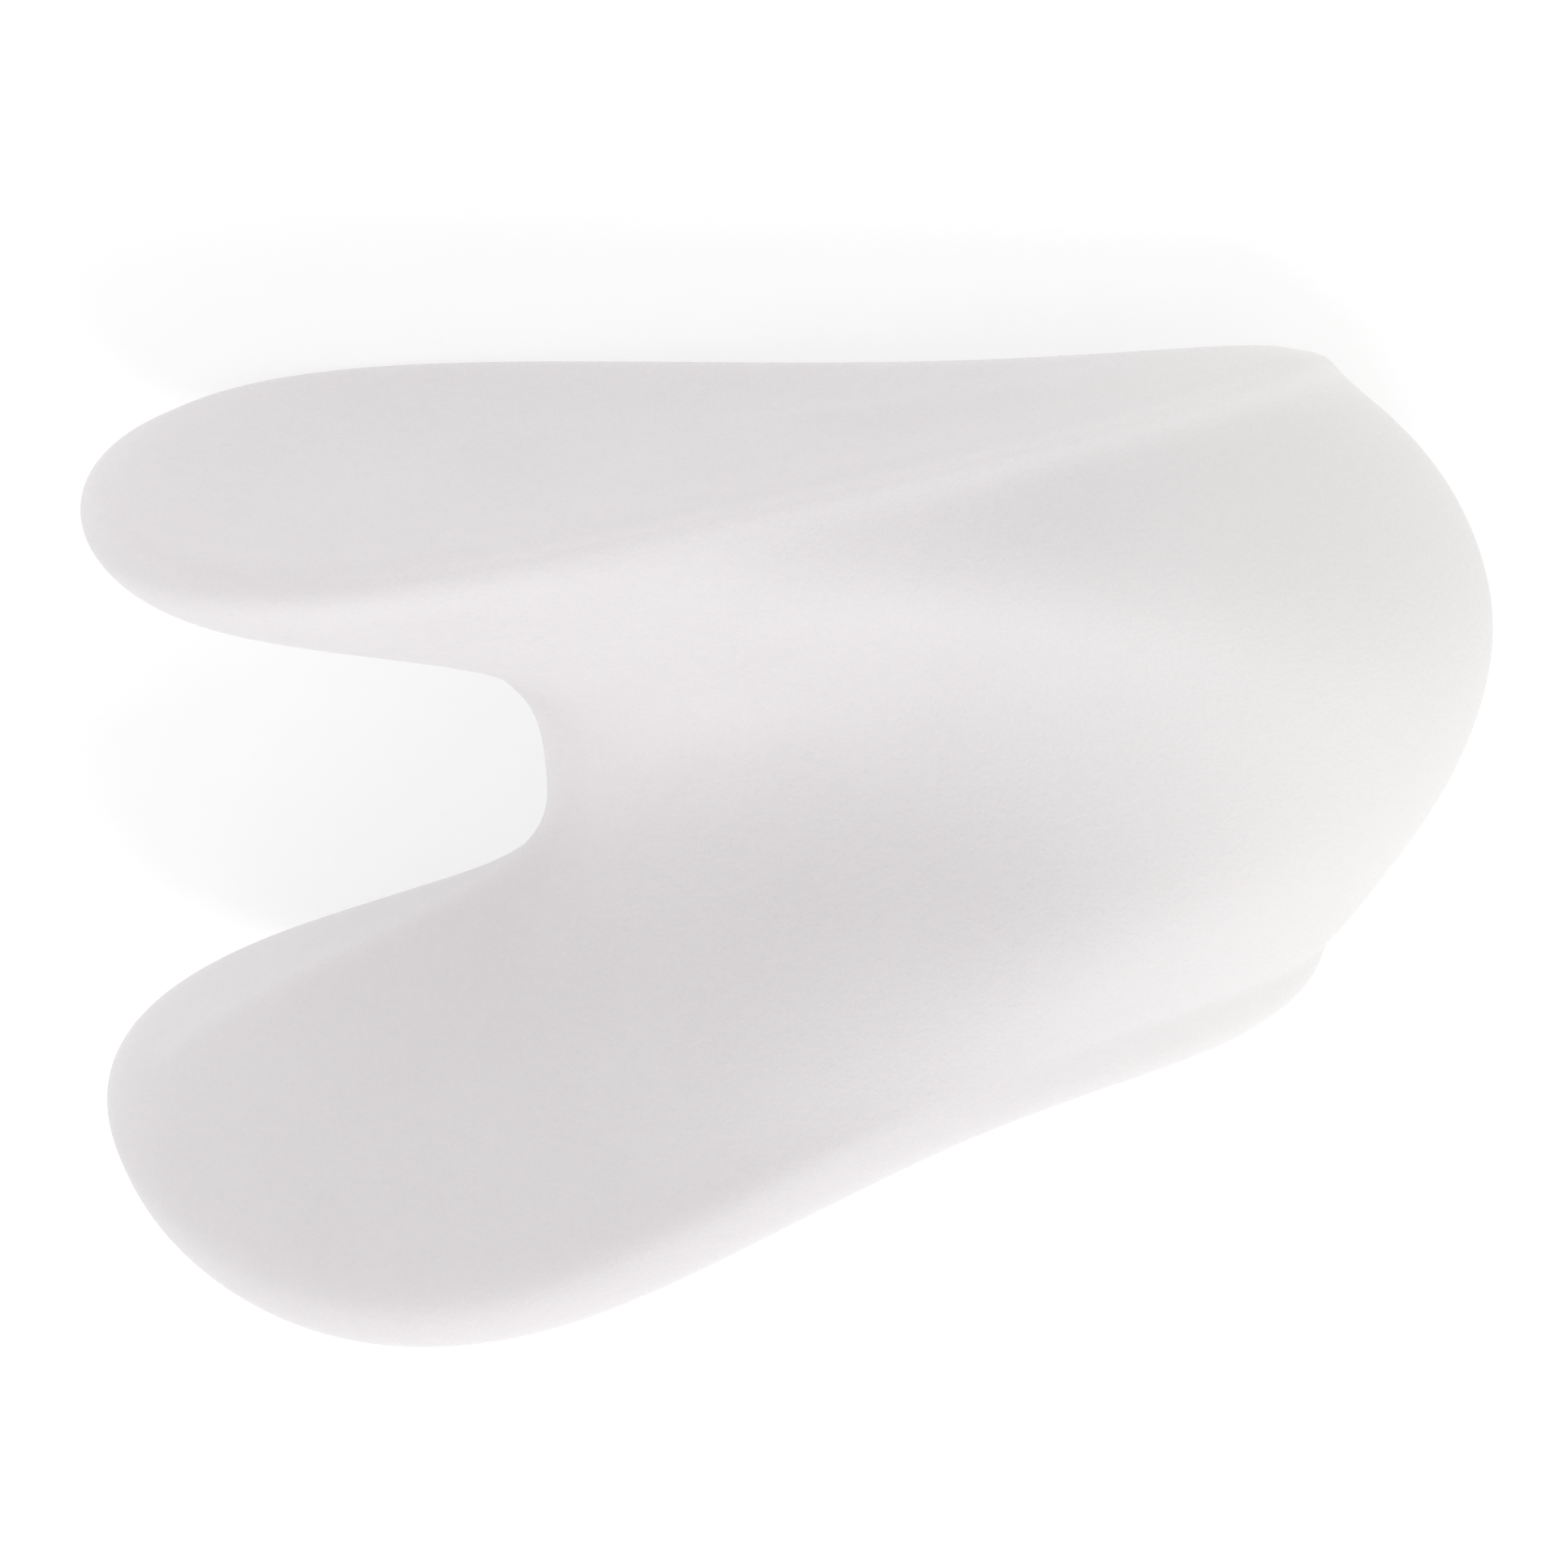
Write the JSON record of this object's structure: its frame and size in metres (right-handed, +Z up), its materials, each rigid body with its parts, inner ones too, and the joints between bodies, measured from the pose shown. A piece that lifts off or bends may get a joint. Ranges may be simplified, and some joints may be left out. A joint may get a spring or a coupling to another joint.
{
  "type": "toe separator",
  "caption": "Soft one-piece gel toe separator: a saddle-shaped cushion with an egg-shaped flange above and below the toes, a notched end and a thick rounded end.",
  "frame": {"origin": "on the surface it rests on, under the middle of its bounding box, with the part lying on its side", "axes": "+X along the toes from the two lobes to the thick rounded end, +Y from the broad flange to the slim one, +Z up, across from one toe seat to the other"},
  "size_m": [0.0378, 0.0248, 0.0172],
  "materials": {
    "white_gel": "soft matte, slightly translucent silicone gel"
  },
  "bodies": {
    "root": {"separator_body": "white_gel"}
  },
  "joints": []
}
